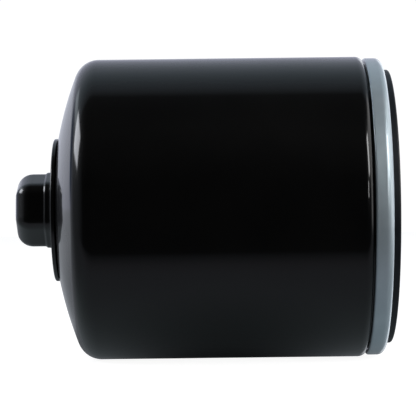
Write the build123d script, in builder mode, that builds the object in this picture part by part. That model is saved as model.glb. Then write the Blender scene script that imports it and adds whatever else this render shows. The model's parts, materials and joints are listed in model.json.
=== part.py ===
from build123d import *
from math import asin, cos, degrees, pi, radians, sin
import os

# Spin-on oil filter: a drawn steel can with a hexagon nut on its domed end, seamed to a tapped
# plate at the other, holding a pleated element, a drain-back valve and a bypass valve.
#
# The can's axis lies along X. The origin is the centre of the gasket's sealing face, +X points
# out of the threaded end and +Z is up. Depth is measured from the sealing face towards the nut.

# ---- driving dimensions (millimetres) ----
OVERALL_LENGTH = 94.65
CAN_R = 38.0
CAN_T = 0.5
COVER_T = 0.55
FIT_GAP = 0.05

# shoulder, domed end and nut
SHOULDER_START = 7.0
SHOULDER_END = 7.7
SHOULDER_R = 37.15
SHOULDER_BLEND_R = 2.1
SHOULDER_FOOT_R = 0.3
DOME_START = 73.05
KNUCKLE_R = 6.0
CROWN_R = 93.0
SEAT_R = 17.5
SEAT_BEND_R = 8.0
NUT_FLATS = 17.0
NUT_CORNER_R = 3.6
NUT_END_R = 3.5
NUT_FOOT_R = 2.4
NUT_WALL = 1.0
NUT_TURN = 38.4
DISC_R = 18.1
DISC_T = 1.0
DISC_RIM_R = 0.4

# gasket, seam and plate
GASKET_OUTER_R = 34.65
GASKET_INNER_R = 31.0
GASKET_T = 5.6
GASKET_EDGE_R = 0.5
SEAM_R = 37.6
SEAM_TOP = 1.75
SEAM_BOTTOM = 6.25
BODY_HOOK_TOP = SEAM_TOP + 1.5
BODY_HOOK_END = SEAM_BOTTOM - 0.8
BODY_HOOK_BEND_R = 0.85
BODY_HOOK_INNER_R = 0.28
COVER_HOOK_END = BODY_HOOK_TOP + 0.75
SEAM_HEAD_R = 1.6
SEAM_FOLD_R = 0.45
CHUCK_BEND_R = 0.33
COMPOUND_SIZE = (0.35, 0.6)
COMPOUND_R = 35.82
LAND_INNER_R = 24.0
CHANNEL_BEND_R = 0.7
RIDGE_INNER_R = 28.9
RIDGE_OUTER_R = 30.65
RIDGE_TOP = 2.5
WELD_RING_R = 26.0
WELD_R = 1.6
WELD_DEPTH = 0.15
PLATE_R = 34.9
PLATE_T = 3.0
THREAD_MINOR_R = 8.73
NECK_R = 11.6
NECK_END = 16.2
NECK_ROOT_R = 1.5
THREAD_CHAMFER = 0.9
PLATE_EDGE_R = 0.5
INLET_COUNT = 8
INLET_RING_R = 18.5
INLET_R = 3.1

# drain-back valve and neck seal
COLLAR_START = 1.75
COLLAR_END = 3.7
COLLAR_WALL = 1.6
FLAP_CONTACT_R = INLET_RING_R + INLET_R + 1.7
FLAP_R = FLAP_CONTACT_R + 1.9
FLAP_T = 1.0
FLAP_BEVEL = 0.3
COLLAR_BEVEL = 0.5
NECK_SEAL_START = 5.2
NECK_SEAL_WALL = 3.56
NECK_SEAL_EDGE_R = 0.4
NECK_SEAL_GAP = 0.02

# filter element
ELEMENT_BASE = 16.6
ELEMENT_TOP = 73.2
CAP_T = 0.4
CAP_R = 34.2
CAP_RIM = 3.6
CAP_BEND_R = 0.6
BASE_CAP_HOLE_R = NECK_R + 0.9
DOME_CAP_HOLE_R = 10.6
POTTING_T = 2.2
POTTING_CHAMFER = 0.4
TUBE_R = 14.4
TUBE_T = 0.5
TUBE_HOLE_R = 1.4
TUBE_HOLE_ROWS = 9
TUBE_HOLES_PER_ROW = 8
PLEATS = 48
PLEAT_OUTER_R = 33.0
PLEAT_INNER_R = 15.2
PLEAT_TIP = 0.45
PAPER_T = 0.45
PAPER_BEND = 0.35
CLIP_T = 0.3
CLIP_LEG = 4.5
CLIP_BEND_R = 0.2
CLIP_GAP = 0.08

# bypass valve
PORT_R = 7.0
PORT_COLLAR = 1.6
PORT_BEND_R = 0.45
VALVE_FLANGE_R = 12.8
VALVE_T = 0.5
CAGE_R = 10.9
CAGE_BOTTOM = 57.5
CAGE_LEGS = 3
CAGE_LEG_WIDTH = 6.5
CAGE_BEND_RADII = [0.5, 1.2]
CAGE_CUP = 1.6
CAGE_COLLAR = 1.8
STEM_R = 1.9
STEM_GAP = 0.08
STEM_BEVEL = 0.6
PLUNGER_R = 9.4
PLUNGER_T = 0.75
PLUNGER_BOSS = 0.6
STEM_END = 53.9
SEAL_T = 1.25
SEAL_EDGE_R = 0.3
COIL_R = 4.4
COIL_WIRE = 0.9
COIL_TURNS = 6.5

# leaf spring behind the element
LEAF_T = 0.6
LEAF_WIDTH = 9.0
LEAF_COUNT = 4
LEAF_HUB_R = 9.0
LEAF_HOLE_R = 3.5
LEAF_FOOT_R = 25.5
LEAF_TIP_R = 28.8
LEAF_TIP_LIFT = 1.6
LEAF_BEND_RADII = [7.0, 1.5]
LEAF_ROOT_R = 5.0
LEAF_SHOULDER_R = 9.5
LEAF_SET = 0.24

os.makedirs("parts", exist_ok=True)


def section(angle=0.0):
    """Plane through the axis: local x is depth from the gasket face, local y is radius."""
    turn = radians(angle)
    return Plane(origin=(0, 0, 0), x_dir=(-1, 0, 0), z_dir=(0, cos(turn), sin(turn)))


def across(depth):
    """Plane square to the axis at a depth. Extruding from it goes towards the nut."""
    return Plane(origin=(-depth, 0, 0), x_dir=(0, 1, 0), z_dir=(-1, 0, 0))


def save(block, label):
    """Label a finished sub-part and write it as STEP."""
    block.part.label = label
    export_step(block.part, f"parts/{label}.step")


# ---- double seam: five layers of sheet, from the outside in ----
LAYER_STEP = (COVER_T + CAN_T) / 2 + FIT_GAP
SEAM_WALL_R = SEAM_R - COVER_T / 2
BODY_HOOK_R = SEAM_WALL_R - LAYER_STEP
COVER_HOOK_R = BODY_HOOK_R - LAYER_STEP
BODY_WALL_R = COVER_HOOK_R - LAYER_STEP
CHUCK_WALL_R = BODY_WALL_R - LAYER_STEP
PANEL_DEPTH = SEAM_TOP + COVER_T / 2
COMPOUND_DEPTH = (SEAM_TOP + COVER_T + BODY_HOOK_TOP - CAN_T / 2) / 2
FOLD_DEPTH = SEAM_BOTTOM - COVER_T / 2
FLOOR_DEPTH = GASKET_T + COVER_T / 2
PLATE_FACE = GASKET_T + COVER_T
PLATE_BACK = PLATE_FACE + PLATE_T

# ---- can: drawn cup, its mouth hooked into the seam, its end a shallow dome with a flat seat ----
sheet_r = CAN_R - CAN_T / 2
crown_start = degrees(asin((CAN_R - KNUCKLE_R) / (CROWN_R - KNUCKLE_R)))
crown_end = degrees(asin(SEAT_R / CROWN_R))
with BuildPart() as can:
    with BuildSketch(section()):
        with BuildLine():
            neck = FilletPolyline(
                (BODY_HOOK_END, BODY_HOOK_R),
                (BODY_HOOK_TOP, BODY_HOOK_R),
                (BODY_HOOK_TOP, BODY_WALL_R),
                (SHOULDER_START, BODY_WALL_R),
                (SHOULDER_START, SHOULDER_R),
                (SHOULDER_END, sheet_r),
                (DOME_START, sheet_r),
                radius=[
                    BODY_HOOK_BEND_R,
                    BODY_HOOK_INNER_R,
                    SEAM_FOLD_R,
                    SHOULDER_FOOT_R,
                    SHOULDER_BLEND_R,
                ],
            )
            knuckle = JernArc(neck @ 1, neck % 1, KNUCKLE_R - CAN_T / 2, crown_start - 90)
            crown = JernArc(knuckle @ 1, knuckle % 1, CROWN_R - CAN_T / 2, crown_end - crown_start)
            bend = JernArc(crown @ 1, crown % 1, SEAT_BEND_R - CAN_T / 2, -crown_end)
            Line(bend @ 1, ((bend @ 1).X, 0))
        trace(line_width=CAN_T)
    revolve(axis=Axis.X)
save(can, "can")
SEAT_DEPTH = (bend @ 1).X + CAN_T / 2
print("nut seat depth", round(SEAT_DEPTH, 3))

# ---- wrench nut: pressed hexagon cup with a round flange, welded to the dome's flat seat ----
with BuildPart() as wrench_nut:
    with BuildSketch(across(SEAT_DEPTH)):
        Circle(DISC_R)
    extrude(amount=DISC_T)
    rim = wrench_nut.faces().sort_by(Axis.X)[0].edges()
    fillet(rim, DISC_RIM_R)
    with BuildSketch(across(SEAT_DEPTH + DISC_T)) as hexagon:
        RegularPolygon(NUT_FLATS / 2, 6, major_radius=False, rotation=NUT_TURN)
        fillet(hexagon.vertices(), NUT_CORNER_R)
    extrude(amount=OVERALL_LENGTH - SEAT_DEPTH - DISC_T)
    end_edges = wrench_nut.faces().sort_by(Axis.X)[0].edges()
    fillet(end_edges, NUT_END_R)
    foot = wrench_nut.faces().filter_by(Axis.X).sort_by(Axis.X)[1].inner_wires()[0]
    fillet(foot.edges(), NUT_FOOT_R)
    with BuildSketch(across(SEAT_DEPTH)) as hollow:
        RegularPolygon(NUT_FLATS / 2 - NUT_WALL, 6, major_radius=False, rotation=NUT_TURN)
        fillet(hollow.vertices(), NUT_CORNER_R - NUT_WALL)
    extrude(amount=OVERALL_LENGTH - SEAT_DEPTH - 2 * NUT_WALL, mode=Mode.SUBTRACT)
save(wrench_nut, "wrench_nut")

# ---- tapped plate: round plate, its threaded neck drawn inwards, oil holes around the neck ----
with BuildPart() as tapping_plate:
    with BuildSketch(section()):
        with BuildLine():
            Polyline(
                (PLATE_FACE, THREAD_MINOR_R),
                (PLATE_FACE, PLATE_R),
                (PLATE_BACK, PLATE_R),
                (PLATE_BACK, NECK_R),
                (NECK_END, NECK_R),
                (NECK_END, THREAD_MINOR_R),
                close=True,
            )
        profile = make_face()
        root = profile.vertices().group_by(Axis.X)[1].sort_by(Axis.Z)[0]
        fillet(root, NECK_ROOT_R)
        bore_mouths = profile.vertices().group_by(Axis.Z)[0]
        chamfer(bore_mouths, THREAD_CHAMFER)
        outer_corners = profile.vertices().group_by(Axis.Z)[-1]
        fillet(outer_corners, PLATE_EDGE_R)
    revolve(axis=Axis.X)
    with BuildSketch(across(PLATE_FACE)):
        with PolarLocations(INLET_RING_R, INLET_COUNT):
            Circle(INLET_R)
    extrude(amount=PLATE_T, mode=Mode.SUBTRACT)
save(tapping_plate, "tapping_plate")

# ---- seam cover: pressed ring with a gasket channel, curled over the can's mouth ----
with BuildPart() as seam_cover:
    with BuildSketch(section()):
        with BuildLine():
            FilletPolyline(
                (FLOOR_DEPTH, LAND_INNER_R),
                (FLOOR_DEPTH, RIDGE_INNER_R),
                (RIDGE_TOP, RIDGE_INNER_R),
                (RIDGE_TOP, RIDGE_OUTER_R),
                (FLOOR_DEPTH, RIDGE_OUTER_R),
                (FLOOR_DEPTH, CHUCK_WALL_R),
                (PANEL_DEPTH, CHUCK_WALL_R),
                (PANEL_DEPTH, SEAM_WALL_R),
                (FOLD_DEPTH, SEAM_WALL_R),
                (FOLD_DEPTH, COVER_HOOK_R),
                (COVER_HOOK_END, COVER_HOOK_R),
                radius=5 * [CHANNEL_BEND_R] + [CHUCK_BEND_R, SEAM_HEAD_R, SEAM_FOLD_R, SEAM_FOLD_R],
            )
        trace(line_width=COVER_T)
    revolve(axis=Axis.X)
    with BuildSketch(across(GASKET_T)):
        with PolarLocations(WELD_RING_R, INLET_COUNT, start_angle=180 / INLET_COUNT):
            Circle(WELD_R)
    extrude(amount=WELD_DEPTH, mode=Mode.SUBTRACT)
save(seam_cover, "seam_cover")

# ---- sealing compound in the head of the seam ----
with BuildPart() as seam_compound:
    with BuildSketch(section()):
        with Locations((COMPOUND_DEPTH, COMPOUND_R)):
            Rectangle(*COMPOUND_SIZE)
    revolve(axis=Axis.X)
save(seam_compound, "seam_compound")

# ---- mounting gasket: square-section rubber ring in the cover's channel ----
with BuildPart() as mounting_gasket:
    with BuildSketch(section()) as gasket_section:
        with Locations((GASKET_T / 2, (GASKET_OUTER_R + GASKET_INNER_R) / 2)):
            Rectangle(GASKET_T, GASKET_OUTER_R - GASKET_INNER_R)
        fillet(gasket_section.vertices(), GASKET_EDGE_R)
    revolve(axis=Axis.X)
save(mounting_gasket, "mounting_gasket")

# ---- drain-back valve: soft ring on the neck, its flap lying on the plate outside the oil holes ----
with BuildPart() as drainback_valve:
    with BuildSketch(section()):
        with BuildLine():
            Polyline(
                (PLATE_BACK + COLLAR_START, NECK_R + FIT_GAP),
                (PLATE_BACK + COLLAR_START, NECK_R + COLLAR_WALL),
                (PLATE_BACK + FIT_GAP, FLAP_CONTACT_R),
                (PLATE_BACK + FIT_GAP, FLAP_R),
                (PLATE_BACK + FIT_GAP + FLAP_T, FLAP_R - FLAP_BEVEL),
                (PLATE_BACK + COLLAR_END - COLLAR_BEVEL, NECK_R + 2 * COLLAR_WALL),
                (PLATE_BACK + COLLAR_END, NECK_R + 1.5 * COLLAR_WALL),
                (PLATE_BACK + COLLAR_END, NECK_R + FIT_GAP),
                close=True,
            )
        make_face()
    revolve(axis=Axis.X)
save(drainback_valve, "drainback_valve")

# ---- neck seal: rubber ring gripping the neck, the element's base cap rests on it ----
with BuildPart() as neck_seal:
    with BuildSketch(section()) as seal_section:
        seal_start = PLATE_BACK + NECK_SEAL_START
        with Locations(((seal_start + ELEMENT_BASE) / 2, NECK_R + NECK_SEAL_GAP + NECK_SEAL_WALL / 2)):
            Rectangle(ELEMENT_BASE - seal_start, NECK_SEAL_WALL)
        fillet(seal_section.vertices(), NECK_SEAL_EDGE_R)
    revolve(axis=Axis.X)
save(neck_seal, "neck_seal")


def end_cap(rim_depth, face_depth, hole_r):
    """Outline of an element end cap: a flat ring from its hole to a turned rim."""
    FilletPolyline(
        (rim_depth, CAP_R - CAP_T / 2),
        (face_depth, CAP_R - CAP_T / 2),
        (face_depth, hole_r),
        radius=CAP_BEND_R,
    )


with BuildPart() as base_end_cap:
    with BuildSketch(section()):
        with BuildLine():
            end_cap(ELEMENT_BASE + CAP_RIM, ELEMENT_BASE + CAP_T / 2, BASE_CAP_HOLE_R)
        trace(line_width=CAP_T)
    revolve(axis=Axis.X)
save(base_end_cap, "base_end_cap")

with BuildPart() as dome_end_cap:
    with BuildSketch(section()):
        with BuildLine():
            end_cap(ELEMENT_TOP - CAP_RIM, ELEMENT_TOP - CAP_T / 2, DOME_CAP_HOLE_R)
        trace(line_width=CAP_T)
    revolve(axis=Axis.X)
save(dome_end_cap, "dome_end_cap")

# ---- potting: adhesive that seals the paper to each cap ----
media_start = ELEMENT_BASE + CAP_T + FIT_GAP + POTTING_T
media_end = ELEMENT_TOP - CAP_T - FIT_GAP - POTTING_T
potting_inner_r = TUBE_R + FIT_GAP
potting_outer_r = CAP_R - CAP_T - FIT_GAP
with BuildPart() as base_potting:
    with BuildSketch(across(media_start - POTTING_T)):
        Circle(potting_outer_r)
        Circle(potting_inner_r, mode=Mode.SUBTRACT)
    extrude(amount=POTTING_T)
    chamfer(base_potting.edges().group_by(Axis.X)[-1].sort_by(SortBy.LENGTH)[-1], POTTING_CHAMFER)
save(base_potting, "base_potting")

with BuildPart() as dome_potting:
    with BuildSketch(across(media_end)):
        Circle(potting_outer_r)
        Circle(potting_inner_r, mode=Mode.SUBTRACT)
    extrude(amount=POTTING_T)
    chamfer(dome_potting.edges().group_by(Axis.X)[0].sort_by(SortBy.LENGTH)[-1], POTTING_CHAMFER)
save(dome_potting, "dome_potting")

# ---- centre tube: perforated steel tube that carries the pleats ----
tube_start = ELEMENT_BASE + CAP_T + FIT_GAP
tube_end = ELEMENT_TOP - CAP_T - FIT_GAP
hole_pitch = (media_end - media_start) / TUBE_HOLE_ROWS
hole_angle = 360 / TUBE_HOLES_PER_ROW
drillings = [
    Location((-media_start - (row + 0.5) * hole_pitch, 0, 0), (hole_angle * (turn + row % 2 / 2), 0, 0))
    for row in range(TUBE_HOLE_ROWS)
    for turn in range(TUBE_HOLES_PER_ROW // 2)
]
with BuildPart() as center_tube:
    with BuildSketch(across(tube_start)):
        Circle(TUBE_R)
        Circle(TUBE_R - TUBE_T, mode=Mode.SUBTRACT)
    extrude(amount=tube_end - tube_start)
    with Locations(*drillings):
        Cylinder(radius=TUBE_HOLE_R, height=3 * TUBE_R, mode=Mode.SUBTRACT)
save(center_tube, "center_tube")


# ---- pleated media: one band of paper folded into upright pleats around the tube ----
def pleat_corner(pleat, radius, side_step):
    """Corner of a fold: radius along the pleat's own spoke, side_step square to it."""
    turn = 2 * pi * pleat / PLEATS
    return (
        radius * cos(turn) - side_step * sin(turn),
        radius * sin(turn) + side_step * cos(turn),
    )


def fold_outline(side):
    """Closed outline of the folded band, offset from its middle by side."""
    valley_step = pi * PLEAT_INNER_R / PLEATS - PAPER_BEND + side
    tip_step = PLEAT_TIP + side
    corners = []
    for pleat in range(PLEATS):
        corners.append(pleat_corner(pleat, PLEAT_INNER_R + side, -valley_step))
        corners.append(pleat_corner(pleat, PLEAT_OUTER_R + side, -tip_step))
        corners.append(pleat_corner(pleat, PLEAT_OUTER_R + side, tip_step))
        corners.append(pleat_corner(pleat, PLEAT_INNER_R + side, valley_step))
    return corners


with BuildPart() as pleated_media:
    with BuildSketch(across(media_start)):
        with BuildLine():
            Polyline(*fold_outline(PAPER_T / 2), close=True)
        make_face()
        with BuildLine():
            Polyline(*fold_outline(-PAPER_T / 2), close=True)
        make_face(mode=Mode.SUBTRACT)
    extrude(amount=media_end - media_start)
save(pleated_media, "pleated_media")

# ---- media seam clip: folded steel strip that grips the two ends of the paper at one pleat ----
clip_half = PLEAT_TIP + PAPER_T / 2 + CLIP_GAP
clip_back = PLEAT_OUTER_R + PAPER_T / 2 + FIT_GAP
with BuildPart() as media_seam_clip:
    with BuildSketch(across(media_start)):
        with BuildLine():
            FilletPolyline(
                (clip_back - CLIP_LEG, -clip_half - CLIP_T / 2),
                (clip_back + CLIP_T / 2, -clip_half - CLIP_T / 2),
                (clip_back + CLIP_T / 2, clip_half + CLIP_T / 2),
                (clip_back - CLIP_LEG, clip_half + CLIP_T / 2),
                radius=CLIP_BEND_R,
            )
        trace(line_width=CLIP_T)
    extrude(amount=media_end - media_start)
save(media_seam_clip, "media_seam_clip")

# ---- bypass valve in the dome cap: seat, cage, plunger, its seal and spring ----
seat_plane = ELEMENT_TOP - CAP_T - FIT_GAP - VALVE_T / 2
with BuildPart() as bypass_seat:
    with BuildSketch(section()):
        with BuildLine():
            FilletPolyline(
                (seat_plane + PORT_COLLAR, PORT_R),
                (seat_plane, PORT_R),
                (seat_plane, VALVE_FLANGE_R),
                radius=PORT_BEND_R,
            )
        trace(line_width=VALVE_T)
    revolve(axis=Axis.X)
save(bypass_seat, "bypass_seat")

cage_plane = seat_plane - VALVE_T - FIT_GAP
with BuildPart() as bypass_cage:
    with BuildSketch(section()):
        with BuildLine():
            FilletPolyline(
                (cage_plane, VALVE_FLANGE_R),
                (cage_plane, CAGE_R),
                (CAGE_BOTTOM, CAGE_R),
                (CAGE_BOTTOM, STEM_R + STEM_GAP),
                radius=CAGE_BEND_RADII,
            )
        trace(line_width=VALVE_T)
    revolve(axis=Axis.X)
    with BuildSketch(across(CAGE_BOTTOM + CAGE_CUP)):
        Circle(2 * CAGE_R)
        with PolarLocations(CAGE_R, CAGE_LEGS):
            Rectangle(2 * CAGE_R, CAGE_LEG_WIDTH, mode=Mode.SUBTRACT)
    extrude(amount=cage_plane - CAGE_BOTTOM - CAGE_CUP - CAGE_COLLAR, mode=Mode.SUBTRACT)
save(bypass_cage, "bypass_cage")

valve_face = seat_plane - VALVE_T / 2 - FIT_GAP
plunger_face = valve_face - SEAL_T
with BuildPart() as bypass_plunger:
    with BuildSketch(section()):
        with BuildLine():
            Polyline(
                (valve_face + PLUNGER_BOSS, 0),
                (valve_face + PLUNGER_BOSS, COIL_R),
                (plunger_face, COIL_R),
                (plunger_face, PLUNGER_R),
                (plunger_face - PLUNGER_T, PLUNGER_R),
                (plunger_face - PLUNGER_T, STEM_R),
                (STEM_END + STEM_BEVEL, STEM_R),
                (STEM_END, STEM_R - STEM_BEVEL),
                (STEM_END, 0),
                close=True,
            )
        make_face()
    revolve(axis=Axis.X)
save(bypass_plunger, "bypass_plunger")

with BuildPart() as bypass_seal:
    with BuildSketch(section()) as ring_section:
        with Locations((valve_face - SEAL_T / 2, (COIL_R + PLUNGER_R) / 2)):
            Rectangle(SEAL_T, PLUNGER_R - COIL_R - 2 * FIT_GAP)
        fillet(ring_section.vertices(), SEAL_EDGE_R)
    revolve(axis=Axis.X)
save(bypass_seal, "bypass_seal")

spring_top = plunger_face - PLUNGER_T - FIT_GAP
spring_foot = CAGE_BOTTOM + VALVE_T / 2 + FIT_GAP
spring_length = spring_top - spring_foot
with BuildPart() as bypass_spring:
    with BuildLine():
        coil = Helix(
            pitch=spring_length / COIL_TURNS,
            height=spring_length,
            radius=COIL_R,
            center=(-spring_foot, 0, 0),
            direction=(-1, 0, 0),
        )
    with BuildSketch(Plane(origin=coil @ 0, z_dir=coil % 0)):
        Circle(COIL_WIRE / 2)
    sweep(is_frenet=True)
    with BuildSketch(across(spring_foot)):
        Circle(2 * COIL_R)
    extrude(amount=spring_length, mode=Mode.INTERSECT)
save(bypass_spring, "bypass_spring")

# ---- support spring: four-legged leaf spring between the dome and the element ----
leaf_top = SEAT_DEPTH - CAN_T - FIT_GAP - LEAF_T / 2
leaf_foot = ELEMENT_TOP + FIT_GAP + LEAF_T / 2
with BuildPart() as support_spring:
    with BuildSketch(*[section(360 * leg / LEAF_COUNT) for leg in range(LEAF_COUNT)]):
        with BuildLine():
            FilletPolyline(
                (leaf_top, LEAF_ROOT_R),
                (leaf_top, LEAF_SHOULDER_R),
                (leaf_foot - LEAF_SET, LEAF_FOOT_R),
                (leaf_foot + LEAF_TIP_LIFT, LEAF_TIP_R),
                radius=LEAF_BEND_RADII,
            )
        trace(line_width=LEAF_T)
    extrude(amount=LEAF_WIDTH / 2, both=True)
    with BuildSketch(across(leaf_top - LEAF_T / 2)):
        Circle(LEAF_HUB_R)
    extrude(amount=LEAF_T)
    with BuildSketch(across(leaf_top - LEAF_T / 2)):
        Circle(LEAF_HOLE_R)
    extrude(amount=LEAF_T, mode=Mode.SUBTRACT)
save(support_spring, "support_spring")
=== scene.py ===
"""Looks for the spin-on oil filter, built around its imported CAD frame.

Lengths are metres. The filter's axis is X: depth is measured from the gasket's sealing face
towards the nut, so a point at a depth has x = -depth.
"""

import json
import math

import bmesh
import bpy
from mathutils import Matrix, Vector


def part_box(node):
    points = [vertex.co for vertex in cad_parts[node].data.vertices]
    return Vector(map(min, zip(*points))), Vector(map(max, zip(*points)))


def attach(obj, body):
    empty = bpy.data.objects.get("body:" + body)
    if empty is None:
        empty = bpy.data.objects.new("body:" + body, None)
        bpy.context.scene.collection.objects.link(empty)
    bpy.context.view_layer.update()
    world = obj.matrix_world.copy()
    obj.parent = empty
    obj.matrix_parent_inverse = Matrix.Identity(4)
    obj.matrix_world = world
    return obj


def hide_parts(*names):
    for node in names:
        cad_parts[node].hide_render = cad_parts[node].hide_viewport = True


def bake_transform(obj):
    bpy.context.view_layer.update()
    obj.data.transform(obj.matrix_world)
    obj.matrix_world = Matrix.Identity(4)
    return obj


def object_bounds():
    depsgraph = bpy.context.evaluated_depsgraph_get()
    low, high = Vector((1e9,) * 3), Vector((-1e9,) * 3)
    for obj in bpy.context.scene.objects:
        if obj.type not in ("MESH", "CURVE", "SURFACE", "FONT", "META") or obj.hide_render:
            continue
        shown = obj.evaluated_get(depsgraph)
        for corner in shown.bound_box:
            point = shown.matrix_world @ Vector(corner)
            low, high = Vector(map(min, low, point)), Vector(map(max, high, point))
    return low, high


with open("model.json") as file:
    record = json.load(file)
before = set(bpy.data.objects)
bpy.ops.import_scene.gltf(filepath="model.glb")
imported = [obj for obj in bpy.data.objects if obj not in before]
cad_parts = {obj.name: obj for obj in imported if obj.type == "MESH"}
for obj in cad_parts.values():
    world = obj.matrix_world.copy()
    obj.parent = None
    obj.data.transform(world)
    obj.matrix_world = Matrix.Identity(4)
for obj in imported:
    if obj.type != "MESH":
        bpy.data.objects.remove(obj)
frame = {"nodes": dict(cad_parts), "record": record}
cad_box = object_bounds()
nodes = frame["nodes"]
MM = 0.001


# ---------------------------------------------------------------- outlines

def rounded(points, radii, steps=8):
    """Polyline through points whose inner corners are rounded to radii, as (depth, radius) pairs."""
    line = [Vector(points[0])]
    for before, corner, after, radius in zip(points, points[1:], points[2:], radii):
        corner = Vector(corner)
        back = (Vector(before) - corner).normalized()
        ahead = (Vector(after) - corner).normalized()
        half = back.angle(ahead) / 2
        centre = corner + (back + ahead).normalized() * radius / math.sin(half)
        start = corner + back * radius / math.tan(half) - centre
        sweep = start.angle_signed(corner + ahead * radius / math.tan(half) - centre)
        for k in range(steps + 1):
            turn = -sweep * k / steps
            line.append(centre + Vector((
                start.x * math.cos(turn) - start.y * math.sin(turn),
                start.x * math.sin(turn) + start.y * math.cos(turn),
            )))
    line.append(Vector(points[-1]))
    return line


def arc(centre, radius, start, end, steps):
    """Arc about a centre, its angles in degrees from the depth direction towards larger radius."""
    return [
        Vector(centre) + radius * Vector((math.cos(a), math.sin(a)))
        for a in (math.radians(start + (end - start) * k / steps) for k in range(steps + 1))
    ]


def thicken(line, thickness):
    """Closed outline of a sheet of this thickness, whose middle follows the line."""
    left, right = [], []
    for k, point in enumerate(line):
        before = (point - line[k - 1]).normalized() if k else None
        after = (line[k + 1] - point).normalized() if k + 1 < len(line) else None
        normals = [Vector((-d.y, d.x)) for d in (before, after) if d is not None]
        normal = sum(normals, Vector((0, 0))).normalized()
        reach = thickness / 2 / max(normal.dot(normals[0]), 0.3)
        left.append(point + normal * reach)
        right.append(point - normal * reach)
    return left + right[::-1]


# ---------------------------------------------------------------- meshes

def make_object(name, vertices, faces, sharp=40):
    mesh = bpy.data.meshes.new(name)
    mesh.from_pydata(vertices, [], faces)
    mesh.validate()
    obj = bpy.data.objects.new(name, mesh)
    bpy.context.scene.collection.objects.link(obj)
    finish_mesh(obj, sharp)
    return obj


def finish_mesh(obj, sharp=40):
    """Outward faces, smooth shading with creases kept, and normals that leave flats flat."""
    bpy.context.view_layer.objects.active = obj
    obj.select_set(True)
    bpy.ops.object.mode_set(mode="EDIT")
    bpy.ops.mesh.select_all(action="SELECT")
    bpy.ops.mesh.normals_make_consistent(inside=False)
    bpy.ops.object.mode_set(mode="OBJECT")
    obj.select_set(False)
    obj.data.shade_smooth()
    obj.data.set_sharp_from_angle(angle=math.radians(sharp))
    weighted = obj.modifiers.new("weighted", "WEIGHTED_NORMAL")
    weighted.keep_sharp = True


def revolve(name, outline, segments=256, shape=None, closed=True):
    """Turns an outline of (depth, radius) about the axis. shape may move each point afterwards."""
    vertices, rings = [], []
    for point in outline:
        if point.y < 1e-7:
            rings.append([len(vertices)] * segments)
            vertices.append((-point.x, 0.0, 0.0))
            continue
        rings.append(list(range(len(vertices), len(vertices) + segments)))
        for k in range(segments):
            angle = 2 * math.pi * k / segments
            depth, radius = shape(point.x, point.y, angle) if shape else point
            vertices.append((-depth, radius * math.cos(angle), radius * math.sin(angle)))
    return make_object(name, vertices, skin(rings, closed))


def skin(rings, closed):
    """Quads, or triangles at a pole, between neighbouring rings of vertex numbers."""
    faces = []
    pairs = list(zip(rings, rings[1:])) + ([(rings[-1], rings[0])] if closed else [])
    for a, b in pairs:
        for k in range(len(a)):
            m = (k + 1) % len(a)
            corners = [a[k], a[m], b[m], b[k]]
            face = [v for i, v in enumerate(corners) if v not in corners[:i]]
            if len(face) > 2:
                faces.append(face)
    return faces


# ---------------------------------------------------------------- sizes read from the frame

can_low, can_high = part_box("can")
cover_low, cover_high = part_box("seam_cover")
gasket_low, gasket_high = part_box("mounting_gasket")
nut_low, nut_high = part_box("wrench_nut")
plate_low, plate_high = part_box("tapping_plate")
valve_low, valve_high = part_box("drainback_valve")

CAN_R = can_high.z
CAN_T = 0.5 * MM
COVER_T = 0.55 * MM
SEAT_DEPTH = -can_low.x
SEAM_R = cover_high.z
SEAM_TOP = -cover_high.x
SEAM_BOTTOM = -cover_low.x
GASKET_T = -gasket_low.x
PLATE_FACE = -plate_high.x
HOOK_TOP = -can_high.x + CAN_T / 2
LAYER_STEP = (COVER_T + CAN_T) / 2 + 0.05 * MM
SEAM_WALL_R = SEAM_R - COVER_T / 2
BODY_HOOK_R, COVER_HOOK_R, BODY_WALL_R, CHUCK_WALL_R = (
    SEAM_WALL_R - LAYER_STEP * layer for layer in (1, 2, 3, 4)
)


# ---------------------------------------------------------------- can

BODY_HOOK_GAP = 0.8 * MM
SHOULDER_START = 7.0 * MM
SHOULDER_END = 7.7 * MM
SHOULDER_R = 37.15 * MM
KNUCKLE_R = 6.0 * MM
CROWN_R = 93.0 * MM
DOME_START = 73.05 * MM
SEAT_R = 17.5 * MM
SEAT_BEND_R = 8.0 * MM
CAN_BENDS = [r * MM for r in (0.85, 0.28, 0.45, 0.3, 2.1)]
WALL_ROWS = [depth * MM for depth in (24, 36, 48, 60, 68)]
WALL_START = 12 * MM
SEAT_ROWS = [r * MM for r in (11, 6, 0)]


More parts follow.
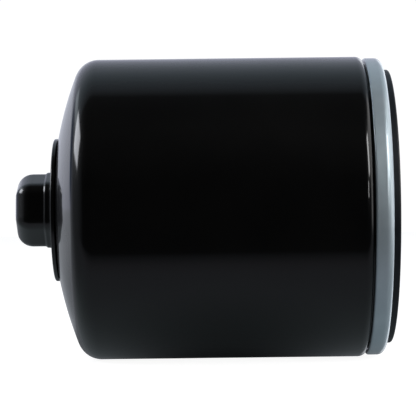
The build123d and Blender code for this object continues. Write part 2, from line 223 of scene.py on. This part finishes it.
def build_can():
    """Drawn cup: hooked mouth, shoulder, straight wall, knuckle, shallow crown and flat seat."""
    wall_r = CAN_R - CAN_T / 2
    line = rounded(
        [
            (SEAM_BOTTOM - BODY_HOOK_GAP, BODY_HOOK_R),
            (HOOK_TOP, BODY_HOOK_R),
            (HOOK_TOP, BODY_WALL_R),
            (SHOULDER_START, BODY_WALL_R),
            (SHOULDER_START, SHOULDER_R),
            (SHOULDER_END, wall_r),
            (WALL_START, wall_r),
        ],
        CAN_BENDS,
    )
    line += [Vector((depth, wall_r)) for depth in WALL_ROWS]
    crown_start = math.degrees(math.asin((CAN_R - KNUCKLE_R) / (CROWN_R - KNUCKLE_R)))
    crown_end = math.degrees(math.asin(SEAT_R / CROWN_R))
    line += arc((DOME_START, CAN_R - KNUCKLE_R), KNUCKLE_R - CAN_T / 2, 90, crown_start, 20)
    crown_centre = SEAT_DEPTH - SEAT_BEND_R - (CROWN_R - SEAT_BEND_R) * math.cos(math.radians(crown_end))
    line += arc((crown_centre, 0), CROWN_R - CAN_T / 2, crown_start, crown_end, 12)[1:]
    bend_r = SEAT_R * (1 - SEAT_BEND_R / CROWN_R)
    line += arc((SEAT_DEPTH - SEAT_BEND_R, bend_r), SEAT_BEND_R - CAN_T / 2, crown_end, 0, 4)[1:]
    line += [Vector((SEAT_DEPTH - CAN_T / 2, radius)) for radius in SEAT_ROWS]
    can = revolve("can_shell", thicken(line, CAN_T))
    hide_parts("can")
    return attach(can, "housing")


# ---------------------------------------------------------------- wrench nut

NUT_FLATS = 17.0 * MM
NUT_CORNER_R = 3.6 * MM
NUT_END_R = 4.0 * MM
NUT_FOOT_R = 1.4 * MM
NUT_SKIRT = 1.8 * MM
NUT_STEP = 0.38 * MM
NUT_STEP_RUN = 0.75 * MM
NUT_WALL = 1.0 * MM
NUT_INNER_R = 2.0 * MM
NUT_END_CROWN = 0.35 * MM
NUT_TURN = math.radians(21.6)
DISC_T = 1.0 * MM
DISC_ROWS = [r * MM for r in (12.2, 14, 16)]
DISC_EDGE_R = 0.4 * MM
DISC_BEVEL = 0.1 * MM
DISC_HOLE_R = 12.0 * MM
SMALLEST_CORNER = 0.3 * MM
ALMOST_NOTHING = 1e-6


def hexagon(inradius, corner, per_corner=10, per_flat=6):
    """Points round a hexagon with rounded corners, as (across, up) pairs."""
    ring = []
    reach = (inradius - corner) / math.cos(math.radians(30))
    for side in range(6):
        middle = NUT_TURN + math.radians(60 * side)
        for k in range(per_corner):
            a = middle + math.radians(-30 + 60 * k / (per_corner - 1))
            ring.append(Vector((
                reach * math.cos(middle) + corner * math.cos(a),
                reach * math.sin(middle) + corner * math.sin(a),
            )))
        following = middle + math.radians(60)
        nearest = following - math.radians(30)
        start = ring[-1]
        end = Vector((
            reach * math.cos(following) + corner * math.cos(nearest),
            reach * math.sin(following) + corner * math.sin(nearest),
        ))
        ring += [start.lerp(end, k / (per_flat + 1)) for k in range(1, per_flat + 1)]
    return ring


def build_nut():
    """Pressed hexagon cup that steps out to a skirt and ends as a round flange."""
    end = -nut_low.x
    disc_r = nut_high.z
    foot = SEAT_DEPTH + DISC_T
    across = NUT_FLATS / 2
    stack = []

    def hexagon_ring(depth, grow, scale=1.0):
        corner = max(NUT_CORNER_R + grow, SMALLEST_CORNER)
        stack.append((depth, [scale * p for p in hexagon(across + grow, corner)]))

    def round_ring(depth, radius):
        stack.append((depth, [radius * p.normalized() for p in hexagon(across, NUT_CORNER_R)]))

    shoulder = end - NUT_END_CROWN
    for scale in (0.0, 0.25, 0.5, 0.75, 0.9):
        hexagon_ring(end - NUT_END_CROWN * scale ** 2, -NUT_END_R, max(scale, ALMOST_NOTHING))
    for k in range(9):
        a = math.radians(90 * k / 8)
        hexagon_ring(shoulder - NUT_END_R * (1 - math.cos(a)), NUT_END_R * (math.sin(a) - 1))
    for k in range(9):
        part = k / 8
        hexagon_ring(foot + NUT_SKIRT + NUT_STEP_RUN * (1 - part), NUT_STEP * part ** 2 * (3 - 2 * part))
    for k in range(7):
        a = math.radians(90 * k / 6)
        hexagon_ring(foot + NUT_FOOT_R * (1 - math.sin(a)), NUT_STEP + NUT_FOOT_R * (1 - math.cos(a)))
    for radius in DISC_ROWS:
        round_ring(foot, radius)
    for k in range(7):
        a = math.radians(90 * k / 6)
        round_ring(foot - DISC_EDGE_R * (1 - math.cos(a)), disc_r - DISC_EDGE_R * (1 - math.sin(a)))
    round_ring(SEAT_DEPTH + DISC_BEVEL, disc_r)
    round_ring(SEAT_DEPTH, disc_r - DISC_BEVEL)
    round_ring(SEAT_DEPTH, DISC_HOLE_R)
    hexagon_ring(SEAT_DEPTH, -NUT_WALL)
    inner_end = end - NUT_WALL
    for k in range(7):
        a = math.radians(90 * k / 6)
        inward = NUT_INNER_R * (1 - math.cos(a))
        hexagon_ring(inner_end - NUT_INNER_R * (1 - math.sin(a)), -NUT_WALL - inward)
    hexagon_ring(inner_end, -NUT_WALL - NUT_INNER_R, ALMOST_NOTHING)
    vertices, rings = [], []
    for depth, ring in stack:
        rings.append(list(range(len(vertices), len(vertices) + len(ring))))
        vertices += [(-depth, p.x, p.y) for p in ring]
    nut = make_object("wrench_nut_cup", vertices, skin(rings, closed=False))
    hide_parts("wrench_nut")
    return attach(nut, "housing")


# ---------------------------------------------------------------- seam cover and gasket

LAND_INNER_R = 24.0 * MM
LAND_STEP = 0.35 * MM
LAND_END_R = 28.0 * MM
RIDGE_TOP = 2.5 * MM
RIDGE_INNER_R = 28.9 * MM
RIDGE_OUTER_R = 30.65 * MM
COVER_HOOK_GAP = 0.75 * MM
COVER_BENDS = [r * MM for r in (0.7, 0.7, 0.7, 0.7, 0.7, 0.33, 1.6, 0.3, 0.45)]
WELDS = 8
WELD_RING_R = 26.0 * MM
WELD_R = 1.9 * MM
WELD_DEPTH = 0.22 * MM
WELD_FLAT = 0.8
WELDS_END_R = 28.2 * MM


def build_cover():
    """Pressed ring: land with weld marks, ridge, gasket channel and the rolled double seam."""
    floor = GASKET_T + COVER_T / 2
    panel = SEAM_TOP + COVER_T / 2
    fold = SEAM_BOTTOM - COVER_T / 2
    line = [Vector((floor, LAND_INNER_R + LAND_STEP * k)) for k in range(12)]
    line += rounded(
        [
            (floor, LAND_END_R),
            (floor, RIDGE_INNER_R),
            (RIDGE_TOP, RIDGE_INNER_R),
            (RIDGE_TOP, RIDGE_OUTER_R),
            (floor, RIDGE_OUTER_R),
            (floor, CHUCK_WALL_R),
            (panel, CHUCK_WALL_R),
            (panel, SEAM_WALL_R),
            (fold, SEAM_WALL_R),
            (fold, COVER_HOOK_R),
            (HOOK_TOP + COVER_HOOK_GAP, COVER_HOOK_R),
        ],
        COVER_BENDS,
        steps=10,
    )

    def weld_marks(depth, radius, angle):
        if radius > WELDS_END_R or depth > floor:
            return depth, radius
        spoke = 2 * math.pi / WELDS
        away = angle % spoke - spoke / 2
        distance = math.hypot(radius - WELD_RING_R, away * WELD_RING_R) / WELD_R
        dent = max(0.0, 1 - distance ** 2) ** 0.5
        return depth + WELD_DEPTH * min(dent, WELD_FLAT), radius

    cover = revolve("seam_cover_ring", thicken(line, COVER_T), 384, shape=weld_marks)
    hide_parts("seam_cover")
    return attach(cover, "housing")


GASKET_INNER_R = 31.0 * MM
GASKET_EDGE_R = 0.45 * MM


def build_gasket():
    """Square-section ring with soft corners."""
    outer, inner = gasket_high.z, GASKET_INNER_R
    corners = [(0, (outer + inner) / 2), (0, outer), (GASKET_T, outer), (GASKET_T, inner), (0, inner)]
    outline = rounded(corners + corners[:1], [GASKET_EDGE_R] * 4)[:-1]
    gasket = revolve("mounting_gasket_ring", outline)
    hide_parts("mounting_gasket")
    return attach(gasket, "housing")


# ---------------------------------------------------------------- plate with its real thread

THREAD_PITCH = 25.4 / 16 * MM
THREAD_MINOR_R = 8.73 * MM
THREAD_MAJOR_R = 9.52 * MM
THREAD_OVERLAP = 0.25 * MM
CREST_SHARE, FLANK_SHARE = 0.06, 0.82
COUNTERSINK = 0.35 * MM
WELD_DISTANCE = 0.001 * MM


def build_thread_cutter():
    """Screw-shaped body whose crests cut the thread's grooves into the plate's bore."""
    per_turn, per_pitch = 96, 10
    neck_end = -plate_low.x
    start, end = PLATE_FACE - THREAD_PITCH, neck_end + THREAD_PITCH
    steps = round((end - start) / THREAD_PITCH * per_pitch)
    core = THREAD_MINOR_R - THREAD_OVERLAP
    vertices, rings = [], []
    for row in range(steps + 1):
        rings.append(list(range(len(vertices), len(vertices) + per_turn)))
        depth = start + (end - start) * row / steps
        for k in range(per_turn):
            turn = k / per_turn
            phase = (depth / THREAD_PITCH - turn) % 1.0
            groove = 1 - min(max((abs(phase - 0.5) * 2 - CREST_SHARE) / FLANK_SHARE, 0.0), 1.0)
            inside = min(depth - PLATE_FACE, neck_end - depth)
            cone = THREAD_MAJOR_R + COUNTERSINK - inside
            radius = max(core + (THREAD_MAJOR_R - core) * groove, cone)
            angle = 2 * math.pi * turn
            vertices.append((-depth, radius * math.cos(angle), radius * math.sin(angle)))
    faces = skin(rings, closed=False) + [rings[0][::-1], rings[-1]]
    return make_object("thread_cutter", vertices, faces)


def build_plate():
    """The CAD plate's own shape with a real right-hand thread cut into its neck."""
    plate = bpy.data.objects.new("threaded_plate", nodes["tapping_plate"].data.copy())
    bpy.context.scene.collection.objects.link(plate)
    joined = bmesh.new()
    joined.from_mesh(plate.data)
    bmesh.ops.remove_doubles(joined, verts=joined.verts, dist=WELD_DISTANCE)
    joined.to_mesh(plate.data)
    joined.free()
    cutter = build_thread_cutter()
    cutter.modifiers.clear()
    cut = plate.modifiers.new("thread", "BOOLEAN")
    cut.object, cut.operation, cut.solver = cutter, "DIFFERENCE", "EXACT"
    bpy.context.view_layer.update()
    evaluated = plate.evaluated_get(bpy.context.evaluated_depsgraph_get())
    plate.data = bpy.data.meshes.new_from_object(evaluated)
    plate.modifiers.clear()
    bpy.data.objects.remove(cutter)
    finish_mesh(plate, 32)
    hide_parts("tapping_plate")
    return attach(plate, "housing")


# ---------------------------------------------------------------- drain-back valve

COLLAR_INNER_R = 11.65 * MM
COLLAR_TOP = 3.65 * MM
FLAP_ROOT = 1.7 * MM
SEALING_R = 23.3 * MM
VALVE_BENDS = [r * MM for r in (1.0, 0.3, 0.3, 0.4, 1.2, 0.3, 0.1)]


def build_valve():
    """Silicone ring: a collar that stays on the neck and a flap that reaches out to the sealing lip."""
    bottom = -valve_high.x
    line = rounded(
        [
            (bottom + FLAP_ROOT, COLLAR_INNER_R),
            (bottom + FLAP_ROOT, COLLAR_INNER_R + 1.7 * MM),
            (bottom, SEALING_R),
            (bottom, valve_high.z),
            (bottom + 1.0 * MM, valve_high.z - 0.3 * MM),
            (bottom + 3.1 * MM, COLLAR_INNER_R + 3.1 * MM),
            (bottom + COLLAR_TOP, COLLAR_INNER_R + 2.3 * MM),
            (bottom + COLLAR_TOP, COLLAR_INNER_R),
            (bottom + FLAP_ROOT, COLLAR_INNER_R),
        ],
        VALVE_BENDS,
        steps=5,
    )[:-1]
    valve = revolve("drainback_ring", line, 192)
    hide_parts("drainback_valve")
    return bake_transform(valve)


# ---------------------------------------------------------------- springs

def build_spring(name, node):
    """A copy of a CAD spring in place of the hidden CAD piece."""
    spring = bpy.data.objects.new(name, nodes[node].data.copy())
    bpy.context.scene.collection.objects.link(spring)
    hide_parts(node)
    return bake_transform(spring)


# ---------------------------------------------------------------- materials

class Nodes:
    """A node tree, with short calls for the nodes used here."""

    def __init__(self, tree):
        self.tree = tree

    def node(self, kind, inputs=(), **settings):
        made = self.tree.nodes.new(kind)
        for name, value in settings.items():
            setattr(made, name, value)
        for name, value in dict(inputs).items():
            if isinstance(value, bpy.types.NodeSocket):
                self.tree.links.new(value, made.inputs[name])
            else:
                made.inputs[name].default_value = value
        return made

    def math(self, operation, *values):
        return self.node("ShaderNodeMath", enumerate(values), operation=operation).outputs[0]

    def spread(self, value, low, high, from_low=0.3, from_high=0.7, smooth=False):
        return self.node("ShaderNodeMapRange", {
            "Value": value, "From Min": from_low, "From Max": from_high, "To Min": low, "To Max": high,
        }, interpolation_type="SMOOTHSTEP" if smooth else "LINEAR").outputs[0]

    def colours(self, value, *stops):
        """Ramp from value to colour; each stop is (position, (r, g, b))."""
        ramp = self.node("ShaderNodeValToRGB", {"Fac": value})
        elements = ramp.color_ramp.elements
        while len(elements) < len(stops):
            elements.new(0.5)
        for element, (position, colour) in zip(elements, stops):
            element.position = position
            element.color = (*colour, 1)
        return ramp.outputs["Color"]


class Shader(Nodes):
    """A Principled material and the procedural nodes that feed it."""

    def __init__(self, name, **sockets):
        self.material = bpy.data.materials.new(name)
        self.material.use_nodes = True
        super().__init__(self.material.node_tree)
        self.surface = self.tree.nodes["Principled BSDF"]
        for socket, value in sockets.items():
            self.surface.inputs[socket.replace("_", " ")].default_value = value
        self.place = self.node("ShaderNodeTexCoord").outputs["Object"]

    def stretched(self, along, across):
        """Coordinates that change quickly along the axis and radius and slowly round it."""
        xyz = self.node("ShaderNodeSeparateXYZ", {0: self.place}).outputs
        squares = [self.math("MULTIPLY", side, side) for side in (xyz[1], xyz[2])]
        radius = self.math("SQRT", self.math("ADD", *squares))
        run = self.math("ADD", xyz[0], self.math("MULTIPLY", radius, 1.7))
        return self.node("ShaderNodeCombineXYZ", {
            0: self.math("MULTIPLY", run, along),
            1: self.math("MULTIPLY", xyz[1], across),
            2: self.math("MULTIPLY", xyz[2], across),
        }).outputs[0]

    def noise(self, scale, detail=3.0, roughness=0.55, vector=None):
        return self.node("ShaderNodeTexNoise", {
            "Vector": vector or self.place, "Scale": scale, "Detail": detail, "Roughness": roughness,
        }).outputs["Fac"]

    def bump(self, height, depth, strength=1.0, under=None):
        inputs = {"Height": height, "Distance": depth, "Strength": strength}
        if under:
            inputs["Normal"] = under
        return self.node("ShaderNodeBump", inputs).outputs[0]

    def connect(self, **sockets):
        for socket, value in sockets.items():
            self.tree.links.new(value, self.surface.inputs[socket.replace("_", " ")])
        return self.material


def black_paint():
    s = Shader("gloss_black_paint", Coat_Weight=1.0, Coat_Roughness=0.035, Specular_IOR_Level=0.1)
    tone = s.colours(s.noise(60, 4), (0.3, (0.0016, 0.0017, 0.0018)), (0.75, (0.003, 0.003, 0.0029)))
    peel = s.bump(s.noise(420, 2, 0.4), 0.02 * MM, 0.12)
    roughness = s.spread(s.noise(35, 5), 0.28, 0.42)
    return s.connect(Base_Color=tone, Roughness=roughness, Normal=peel, Coat_Normal=peel)


def nut_paint():
    s = Shader("gloss_black_nut", Coat_Weight=1.0, Coat_Roughness=0.05, Specular_IOR_Level=0.3)
    tone = s.colours(s.noise(90, 4), (0.3, (0.0018, 0.0019, 0.002)), (0.75, (0.0034, 0.0034, 0.0032)))
    peel = s.bump(s.noise(500, 2, 0.4), 0.03 * MM, 0.18)
    roughness = s.spread(s.noise(60, 5), 0.3, 0.46)
    return s.connect(Base_Color=tone, Roughness=roughness, Normal=peel, Coat_Normal=peel)


def zinc_sheet():
    s = Shader("zinc_sheet", Metallic=0.6, Coat_Weight=1.0, Coat_Roughness=0.08)
    streaks = s.noise(1.0, 4, 0.6, s.stretched(5200, 60))
    cloud = s.noise(140, 4)
    tone = s.colours(cloud, (0.3, (0.59, 0.70, 0.76)), (0.7, (0.69, 0.80, 0.86)))
    roughness = s.spread(streaks, 0.38, 0.5)
    fine = s.bump(streaks, 0.004 * MM, 0.5)
    return s.connect(Base_Color=tone, Roughness=roughness, Normal=fine)


def plate_steel():
    s = Shader("zinc_plate", Metallic=1.0)
    cloud = s.noise(220, 5)
    tone = s.colours(cloud, (0.3, (0.42, 0.45, 0.47)), (0.7, (0.58, 0.6, 0.62)))
    grain = s.bump(s.noise(2600, 3), 0.01 * MM, 0.4)
    return s.connect(Base_Color=tone, Roughness=s.spread(cloud, 0.3, 0.46), Normal=grain)


def gasket_rubber():
    s = Shader("nitrile_rubber", Specular_IOR_Level=0.55)
    cloud = s.noise(300, 5)
    tone = s.colours(cloud, (0.3, (0.001, 0.0028, 0.006)), (0.7, (0.002, 0.0052, 0.01)))
    grain = s.bump(s.noise(4200, 3), 0.02 * MM, 0.4)
    return s.connect(Base_Color=tone, Roughness=s.spread(cloud, 0.38, 0.6), Normal=grain)


def soft_part(name, dark, light, roughness):
    s = Shader(name)
    cloud = s.noise(260, 4)
    grain = s.bump(s.noise(3000, 3), 0.02 * MM, 0.3)
    tone = s.colours(cloud, (0.3, dark), (0.7, light))
    rough = s.spread(cloud, roughness - 0.08, roughness + 0.08)
    return s.connect(Base_Color=tone, Roughness=rough, Normal=grain)


def sheet_metal(name, dark, light, roughness):
    s = Shader(name, Metallic=1.0)
    streaks = s.noise(1.0, 4, 0.6, s.stretched(3600, 90))
    tone = s.colours(s.noise(180, 4), (0.3, dark), (0.7, light))
    fine = s.bump(streaks, 0.004 * MM, 0.5)
    rough = s.spread(streaks, roughness - 0.07, roughness + 0.07)
    return s.connect(Base_Color=tone, Roughness=rough, Normal=fine)


def filter_paper():
    s = Shader("pleated_paper", Specular_IOR_Level=0.2)
    fibres = s.noise(1600, 6, 0.7)
    tone = s.colours(fibres, (0.3, (0.42, 0.24, 0.07)), (0.7, (0.66, 0.43, 0.16)))
    fuzz = s.bump(fibres, 0.05 * MM, 0.5)
    return s.connect(Base_Color=tone, Roughness=s.spread(fibres, 0.8, 0.95), Normal=fuzz)


# ---------------------------------------------------------------- build

pieces = {
    "can": build_can(),
    "wrench_nut": build_nut(),
    "seam_cover": build_cover(),
    "mounting_gasket": build_gasket(),
    "tapping_plate": build_plate(),
    "drainback_valve": build_valve(),
    "support_spring": build_spring("leaf_spring", "support_spring"),
    "bypass_spring": build_spring("bypass_coil", "bypass_spring"),
}

tinplate = ((0.44, 0.45, 0.46), (0.6, 0.61, 0.62))
finishes = {
    "black_paint": black_paint(),
    "nut_paint": nut_paint(),
    "zinc_sheet": zinc_sheet(),
    "plate_steel": plate_steel(),
    "gasket_rubber": gasket_rubber(),
    "seam_compound": soft_part("seam_compound", (0.25, 0.23, 0.18), (0.38, 0.36, 0.3), 0.6),
    "silicone": soft_part("silicone", (0.42, 0.085, 0.02), (0.55, 0.13, 0.035), 0.42),
    "seal_rubber": soft_part("seal_rubber", (0.012, 0.012, 0.013), (0.024, 0.024, 0.025), 0.5),
    "cap_steel": sheet_metal("cap_tinplate", *tinplate, 0.3),
    "tube_steel": sheet_metal("tube_tinplate", *tinplate, 0.34),
    "potting": soft_part("potting", (0.05, 0.1, 0.18), (0.08, 0.15, 0.26), 0.45),
    "filter_paper": filter_paper(),
    "clip_steel": sheet_metal("clip_tinplate", *tinplate, 0.32),
    "valve_steel": sheet_metal("valve_steel", (0.36, 0.36, 0.37), (0.5, 0.5, 0.51), 0.36),
    "spring_steel": sheet_metal("spring_steel", (0.1, 0.1, 0.105), (0.2, 0.2, 0.205), 0.38),
}
for subpart in frame["record"]["subparts"]:
    node = subpart["node"]
    piece = pieces.get(node, nodes[node])
    piece.data.materials.clear()
    piece.data.materials.append(finishes[subpart["material_slot"]])


# ---------------------------------------------------------------- floor, backdrop and light

MIDDLE = (cad_box[0] + cad_box[1]) / 2
FLOOR_Z = -CAN_R
FLOOR_R = 2.4
BACKDROP_R = 2.5


def glow(name, colour, strength, white=0.0):
    """Self-lit stage material, with a share of plain white that takes shadows."""
    s = Shader(name, Roughness=1.0, Specular_IOR_Level=0.0, Emission_Strength=strength)
    s.surface.inputs["Base Color"].default_value = (white, white, white, 1)
    s.surface.inputs["Emission Color"].default_value = (*colour, 1)
    return s


def set_up(obj, material, camera=False, glossy=False, diffuse=False):
    """Stage piece that only the named kinds of ray can see."""
    obj.data.materials.append(material)
    obj.visible_camera = camera
    obj.visible_glossy = glossy
    obj.visible_diffuse = diffuse
    obj.visible_transmission = False
    obj.visible_shadow = False


def rectangle(name, left, low, right, high):
    """Flat rectangle in its own XY plane."""
    corners = [(left, low, 0), (right, low, 0), (right, high, 0), (left, high, 0)]
    mesh = bpy.data.meshes.new(name)
    mesh.from_pydata(corners, [], [(0, 1, 2, 3)])
    obj = bpy.data.objects.new(name, mesh)
    bpy.context.scene.collection.objects.link(obj)
    return obj


def panel(name, azimuth, elevation, width, height, radiance, edge=0.3, colour=(1, 1, 1), distance=1.2):
    """Light panel facing the filter, its place and its size given as angles.

    Azimuth 0 is the camera's side and 90 the threaded end. The panel turns transparent towards
    its border, over the share of each half that edge gives.
    """
    half_w = distance * math.tan(math.radians(width / 2))
    half_h = distance * math.tan(math.radians(height / 2))
    obj = rectangle(name, -half_w, -half_h, half_w, half_h)
    a, e = math.radians(azimuth), math.radians(elevation)
    away = Vector((math.sin(a) * math.cos(e), -math.cos(a) * math.cos(e), math.sin(e)))
    obj.location = MIDDLE + distance * away
    obj.rotation_euler = away.to_track_quat("Z", "Y").to_euler()
    s = glow(name, colour, radiance)
    xyz = s.node("ShaderNodeSeparateXYZ", {0: s.place}).outputs
    sides = [s.math("ABSOLUTE", s.math("DIVIDE", side, half)) for side, half in zip(xyz, (half_w, half_h))]
    fades = [s.spread(side, 0, 1, 1, 1 - edge, smooth=True) for side in sides]
    set_up(obj, s.connect(Alpha=s.math("MULTIPLY", *fades)), glossy=True, diffuse=True)


# light around the axis: degrees from the camera's side (0) over the top to the back (180)
LIGHT_RING = [
    (-180, (0.40, 0.42, 0.46)),
    (-150, (0.22, 0.25, 0.27)),
    (-104, (0.20, 0.235, 0.25)),
    (-50, (0.19, 0.2, 0.225)),
    (-43, (0.165, 0.165, 0.185)),
    (-37, (0.085, 0.09, 0.1)),
    (-33, (0.02, 0.02, 0.02)),
    (20, (0.012, 0.012, 0.012)),
    (60, (0.035, 0.035, 0.035)),
    (94, (0.028, 0.028, 0.028)),
    (99, (0.115, 0.13, 0.145)),
    (104, (0.16, 0.185, 0.215)),
    (120, (0.225, 0.275, 0.315)),
    (140, (0.33, 0.37, 0.43)),
    (165, (0.46, 0.47, 0.58)),
    (180, (0.55, 0.56, 0.68)),
]
SIDE_LIGHT = (0.14, 0.15, 0.165)


def build_world():
    """Studio light: a ring of tones about the filter's axis that turns even towards both ends."""
    world = bpy.data.worlds.new("studio")
    bpy.context.scene.world = world
    world.use_nodes = True
    n = Nodes(world.node_tree)
    direction = n.node("ShaderNodeTexCoord").outputs["Generated"]
    xyz = n.node("ShaderNodeSeparateXYZ", {0: direction}).outputs
    turn = n.math("ARCTAN2", xyz[2], n.math("MULTIPLY", xyz[1], -1.0))
    share = n.spread(turn, 0, 1, -math.pi, math.pi)
    ring = n.colours(share, *(((angle + 180) / 360, colour) for angle, colour in LIGHT_RING))
    sideways = n.spread(n.math("ABSOLUTE", xyz[0]), 0, 1, 0.75, 0.97)
    mixed = n.node("ShaderNodeMix", {"Factor": sideways, 6: ring, 7: (*SIDE_LIGHT, 1)}, data_type="RGBA")
    n.tree.links.new(mixed.outputs[2], n.tree.nodes["Background"].inputs["Color"])


bpy.ops.mesh.primitive_circle_add(vertices=96, radius=FLOOR_R, fill_type="NGON", location=(0, 0, FLOOR_Z))
floor = bpy.context.object
floor.name = "floor"
set_up(floor, glow("floor_white", (1, 1, 1), 0.93, white=0.3).material, camera=True)
bpy.ops.mesh.primitive_uv_sphere_add(segments=48, ring_count=24, radius=BACKDROP_R)
backdrop = bpy.context.object
backdrop.name = "backdrop"
set_up(backdrop, glow("backdrop_white", (1, 1, 1), 1.05).material, camera=True)


SHADE_HALF_LENGTH = 0.056
SHADE_HALF_DEPTH = 0.088
SHADE_CENTRE = Vector((MIDDLE.x + 0.006, 0.058, FLOOR_Z - 0.5 * MM))
SHADE_CORE, SHADE_END = 0.7, 1.18
SHADE_DEPTH = 0.97


def shade_card():
    """Dark oval on the floor behind the can, which the can's gloss shows as its own shadow."""
    reach_x, reach_y = SHADE_END * SHADE_HALF_LENGTH, SHADE_END * SHADE_HALF_DEPTH
    card = rectangle("shade_card", -reach_x, -reach_y, reach_x, SHADE_HALF_DEPTH / 4)
    card.location = SHADE_CENTRE
    s = glow("card_shade", (0, 0, 0), 0.0)
    xyz = s.node("ShaderNodeSeparateXYZ", {0: s.place}).outputs
    along = s.math("POWER", s.math("DIVIDE", xyz[0], SHADE_HALF_LENGTH), 2.0)
    inward = s.math("POWER", s.math("DIVIDE", xyz[1], SHADE_HALF_DEPTH), 2.0)
    reach = s.math("SQRT", s.math("ADD", along, inward))
    alpha = s.spread(reach, SHADE_DEPTH, 0, SHADE_CORE, SHADE_END, smooth=True)
    set_up(card, s.connect(Alpha=alpha), glossy=True)


build_world()
shade_card()
panel("left_softbox", -95, 29.5, 33, 25, 6.0, edge=0.4, colour=(0.94, 0.97, 1.04))
panel("left_tail", -124, 31, 28, 13, 1.1, edge=0.5, colour=(0.86, 0.97, 1.06), distance=1.3)
panel("left_flag", -129, 12, 26, 30, 0.1, edge=0.6, colour=(0.6, 0.9, 1.5), distance=1.1)
panel("right_softbox", 46, 34, 16, 33, 8.0, edge=0.3, distance=1.1)
panel("right_catch", 32, 11.5, 6, 13, 8.0, distance=1.1)
panel("right_fill", 88, 20, 60, 70, 1.2, edge=0.4)
panel("back_left", -160, 9, 62, 24, 0.7, edge=0.6, colour=(0.9, 0.94, 1.08))
panel("back_right", 148, 0, 50, 60, 1.3, edge=0.35, colour=(0.9, 0.94, 1))
panel("left_apron", -135, -14, 75, 22, 0.25, edge=0.6, colour=(0.88, 0.94, 1.04), distance=1.3)


# ---------------------------------------------------------------- camera

CAMERA_PLACE = (-0.04583, -0.4987, 0.00007)
CAMERA_LENS = 169.6
CAMERA_ROLL = -0.68

camera_data = bpy.data.cameras.new("camera")
camera = bpy.data.objects.new("camera", camera_data)
bpy.context.scene.collection.objects.link(camera)
camera.location = CAMERA_PLACE
camera.rotation_euler = (math.radians(90), 0, 0)
camera.rotation_euler.rotate_axis("Z", math.radians(CAMERA_ROLL))
camera_data.lens = CAMERA_LENS
camera_data.sensor_width = 36
camera_data.clip_start = 0.01
camera_data.clip_end = 10
bpy.context.scene.camera = camera
bpy.context.scene.view_settings.view_transform = "Standard"
